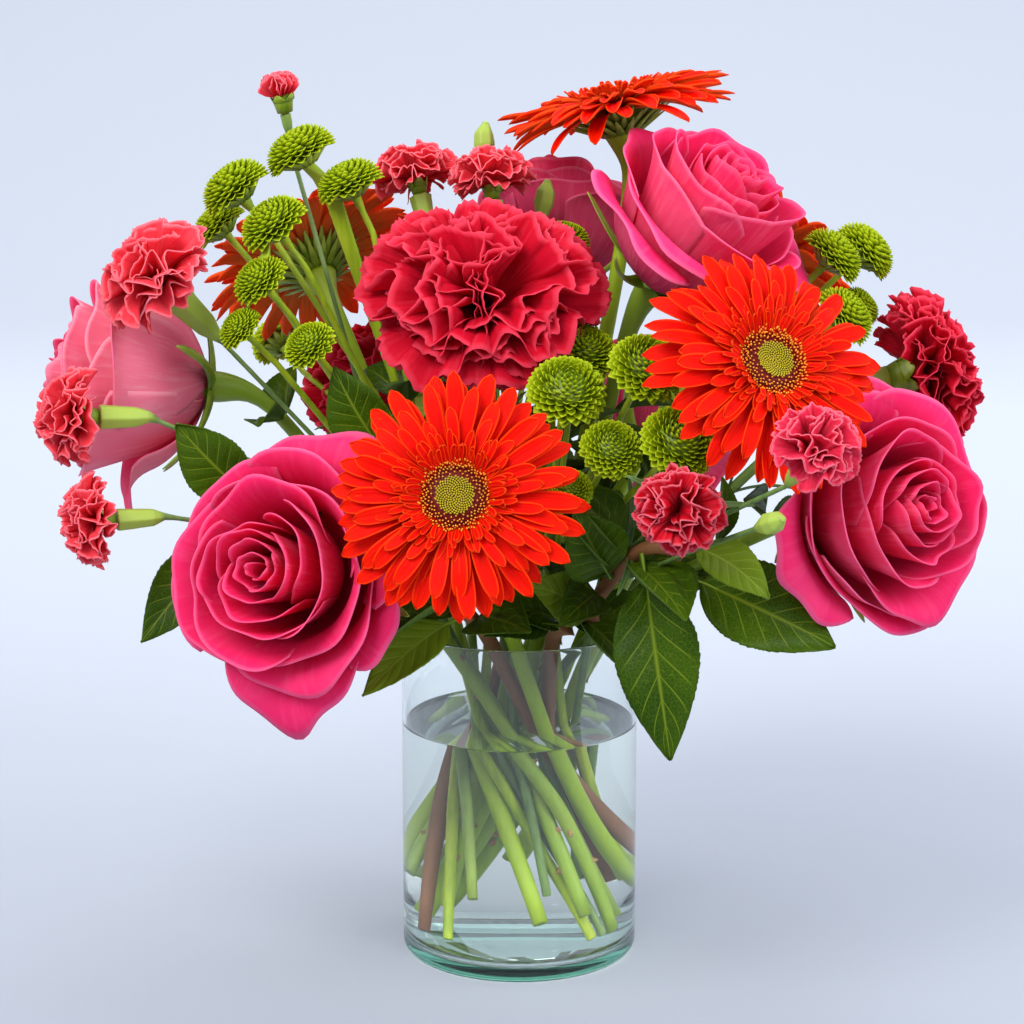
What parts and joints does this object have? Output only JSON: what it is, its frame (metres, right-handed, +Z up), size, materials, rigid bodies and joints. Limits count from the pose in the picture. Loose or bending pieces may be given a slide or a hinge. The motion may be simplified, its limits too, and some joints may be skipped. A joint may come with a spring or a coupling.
{
  "type": "gerberas in a vase",
  "caption": "Mixed bouquet of gerberas, roses, carnations and green button chrysanthemums with leafy branches in a clear glass cylinder vase of water.",
  "frame": {"origin": "centre of the vase's flat foot, on the surface it stands on", "axes": "+Z up along the vase; -Y is the bouquet's front; +X to the right seen from the front"},
  "size_m": [0.3962, 0.3397, 0.3746],
  "materials": {
    "vase": "clear glass with a green-blue tint where it is thick",
    "water": "clear still water",
    "gerbera": "soft satin petals, scarlet-orange",
    "rose": "velvety petals, hot pink",
    "carnation": "ruffled petals, crimson-pink",
    "spray_carnation": "ruffled petals, coral pink",
    "button_spray": "green stems and dense lime-green florets",
    "green_stem": "fresh green stem, satin",
    "wood_stem": "brown bark",
    "leaf": "leathery dark green with pale veins"
  },
  "bodies": {
    "root": {"carnation_back": "carnation", "carnation_back_stem": "green_stem", "carnation_centre": "carnation", "carnation_centre_stem": "green_stem", "carnation_right": "carnation", "carnation_right_stem": "green_stem", "gerbera_back": "gerbera", "gerbera_back_stem": "green_stem", "gerbera_front": "gerbera", "gerbera_front_stem": "green_stem", "gerbera_left": "gerbera", "gerbera_left_stem": "green_stem", "gerbera_right": "gerbera", "gerbera_right_stem": "green_stem", "gerbera_top": "gerbera", "gerbera_top_stem": "green_stem", "leaf_back_left": "leaf", "leaf_back_right": "leaf", "leaf_centre_high": "leaf", "leaf_centre_low": "leaf", "leaf_front_hanging": "leaf", "leaf_left_high": "leaf", "leaf_left_low": "leaf", "leaf_right_high": "leaf", "leaf_right_low": "leaf", "leaf_rim_centre": "leaf", "leaf_rim_left": "leaf", "leaf_upper_left": "leaf", "pom_spray_back": "button_spray", "pom_spray_centre": "button_spray", "pom_spray_left": "button_spray", "pom_spray_right": "button_spray", "rose_back": "rose", "rose_back_stem": "green_stem", "rose_front": "rose", "rose_front_stem": "green_stem", "rose_left": "rose", "rose_left_stem": "green_stem", "rose_rear": "rose", "rose_rear_stem": "green_stem", "rose_right": "rose", "rose_right_stem": "green_stem", "rose_top": "rose", "rose_top_stem": "green_stem", "salal_branch_back": "wood_stem", "salal_branch_left": "wood_stem", "salal_branch_right": "wood_stem", "spray_bud_left": "spray_carnation", "spray_far_left": "spray_carnation", "spray_front": "spray_carnation", "spray_front_right": "spray_carnation", "spray_lower_left": "spray_carnation", "spray_stem_front": "green_stem", "spray_stem_left": "green_stem", "spray_stem_top": "green_stem", "spray_top": "spray_carnation", "spray_top_left": "spray_carnation", "spray_upper_left": "spray_carnation", "vase": "vase", "water": "water"}
  },
  "joints": []
}
